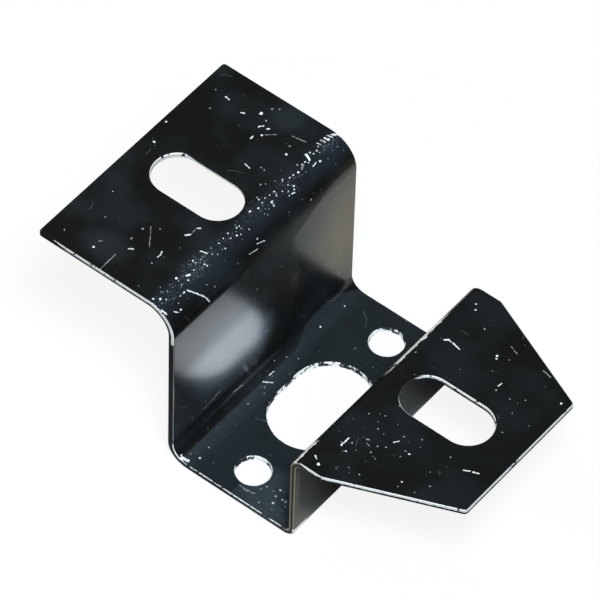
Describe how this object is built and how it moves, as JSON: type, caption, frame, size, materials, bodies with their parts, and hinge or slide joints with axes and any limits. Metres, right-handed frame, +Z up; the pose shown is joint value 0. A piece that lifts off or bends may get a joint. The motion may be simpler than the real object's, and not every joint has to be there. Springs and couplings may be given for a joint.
{
  "type": "stamped metal bracket",
  "caption": "Folded sheet-metal bracket with a slotted top flange, web, drilled base, riser and a tapering slotted tab at mid-height, for joining parts at different levels.",
  "frame": {"origin": "under the centre of the racetrack hole, level with the underside of the base the bracket stands on; it is also the middle of the bracket's length and width", "axes": "+X along the folded strip from the upper flange towards the tab, +Y across the strip, +Z up from the base towards the upper flange"},
  "size_m": [0.0856, 0.05, 0.039],
  "materials": {
    "black_paint": "semi-gloss"
  },
  "bodies": {
    "root": {"bracket": "black_paint"}
  },
  "joints": []
}
